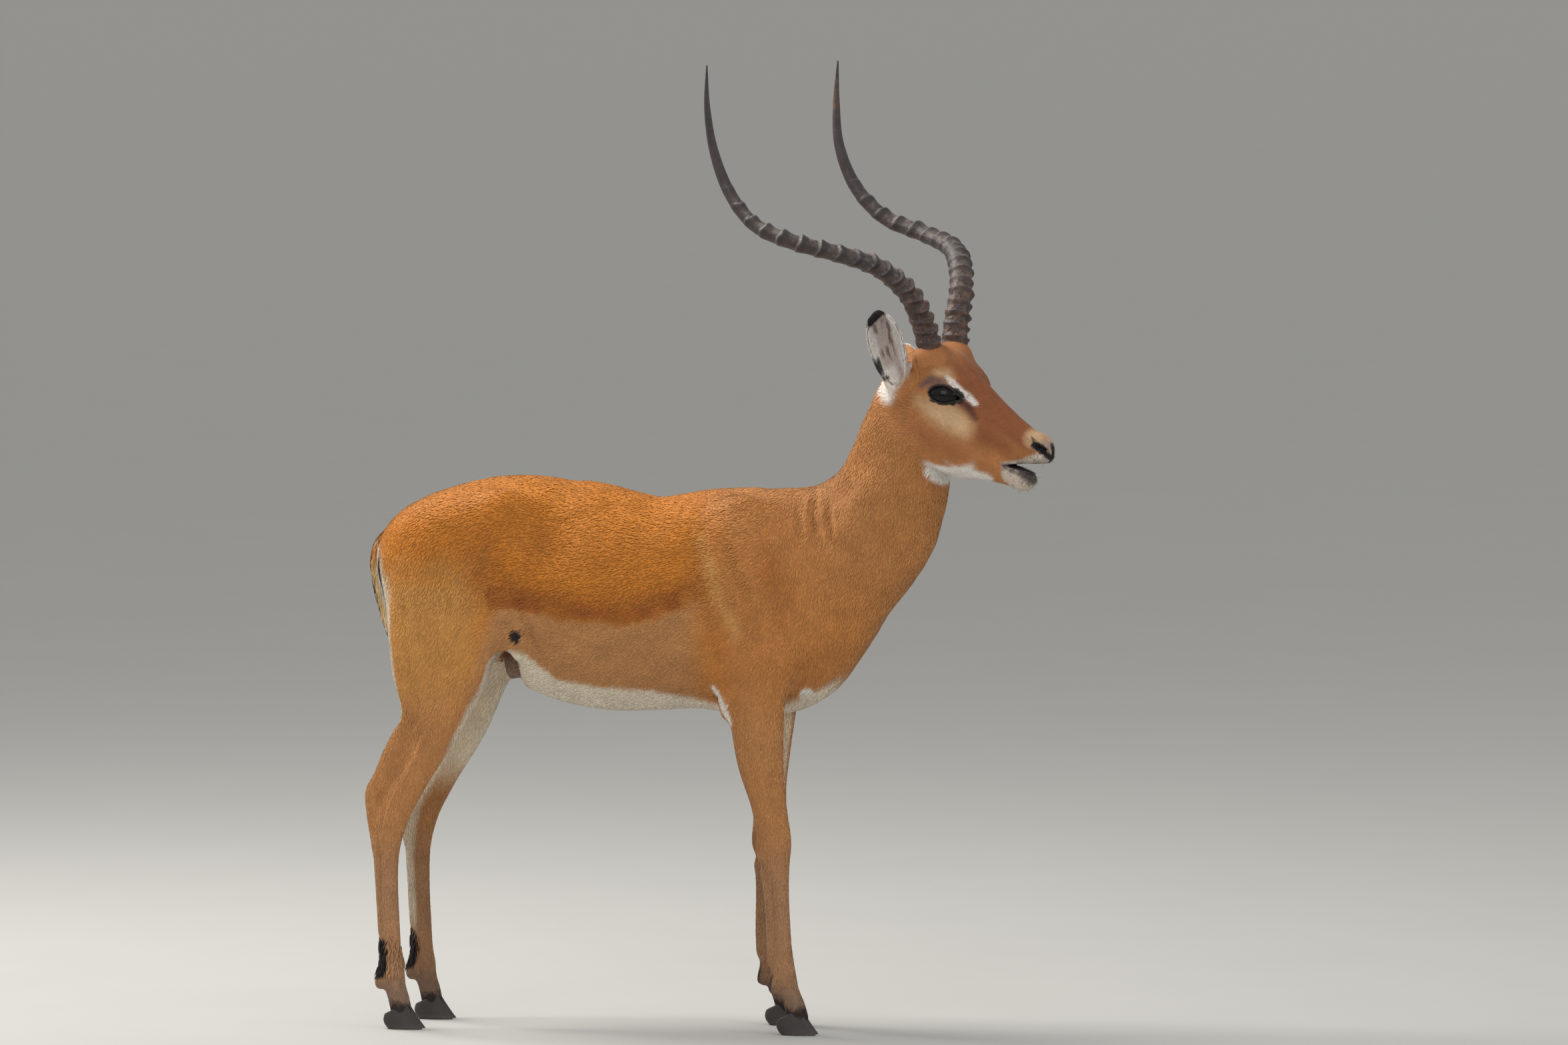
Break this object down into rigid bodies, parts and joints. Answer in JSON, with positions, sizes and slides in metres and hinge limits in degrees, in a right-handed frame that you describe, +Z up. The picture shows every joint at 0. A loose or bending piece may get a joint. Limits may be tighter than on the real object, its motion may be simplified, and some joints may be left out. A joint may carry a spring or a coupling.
{
  "type": "impala antelope",
  "caption": "Life-size standing impala ram with lyre-shaped ridged horns, head turned to its right; each hoof rests flat on one level floor.",
  "frame": {"origin": "on the floor, at the middle of the whole animal's length and breadth, horns counted", "axes": "+Z up; +X towards the animal's breast, along its trunk; +Y towards its left side"},
  "size_m": [1.1267, 0.4697, 1.5445],
  "materials": {
    "saddle_coat": "short dense fur, rich red brown",
    "flank_coat": "short smooth fur, light tan",
    "leg_coat": "very short fur, tan brown",
    "face_coat": "very short fur, reddish brown",
    "throat_coat": "short fur, white to cream",
    "ear_skin": "thin furred skin",
    "horn": "dark ridged horn, satin",
    "hoof": "black hoof horn, semi-gloss",
    "eye": "wet dark eye",
    "tongue": "wet dark purple"
  },
  "bodies": {
    "root": {"barrel": "flank_coat", "chest": "saddle_coat", "head": "face_coat", "left_ear": "ear_skin", "left_eye": "eye", "left_fore_cannon": "leg_coat", "left_fore_inner_hoof": "hoof", "left_fore_outer_hoof": "hoof", "left_fore_pastern": "leg_coat", "left_forearm": "leg_coat", "left_gaskin": "leg_coat", "left_hind_cannon": "leg_coat", "left_hind_inner_hoof": "hoof", "left_hind_outer_hoof": "hoof", "left_hind_pastern": "leg_coat", "left_hock": "leg_coat", "left_horn": "horn", "left_knee": "leg_coat", "left_thigh": "flank_coat", "lower_jaw": "throat_coat", "neck": "saddle_coat", "right_ear": "ear_skin", "right_eye": "eye", "right_fore_cannon": "leg_coat", "right_fore_inner_hoof": "hoof", "right_fore_outer_hoof": "hoof", "right_fore_pastern": "leg_coat", "right_forearm": "leg_coat", "right_gaskin": "leg_coat", "right_hind_cannon": "leg_coat", "right_hind_inner_hoof": "hoof", "right_hind_outer_hoof": "hoof", "right_hind_pastern": "leg_coat", "right_hock": "leg_coat", "right_horn": "horn", "right_knee": "leg_coat", "right_thigh": "flank_coat", "rump": "saddle_coat", "scrotum": "throat_coat", "tail": "saddle_coat", "tongue": "tongue"}
  },
  "joints": []
}
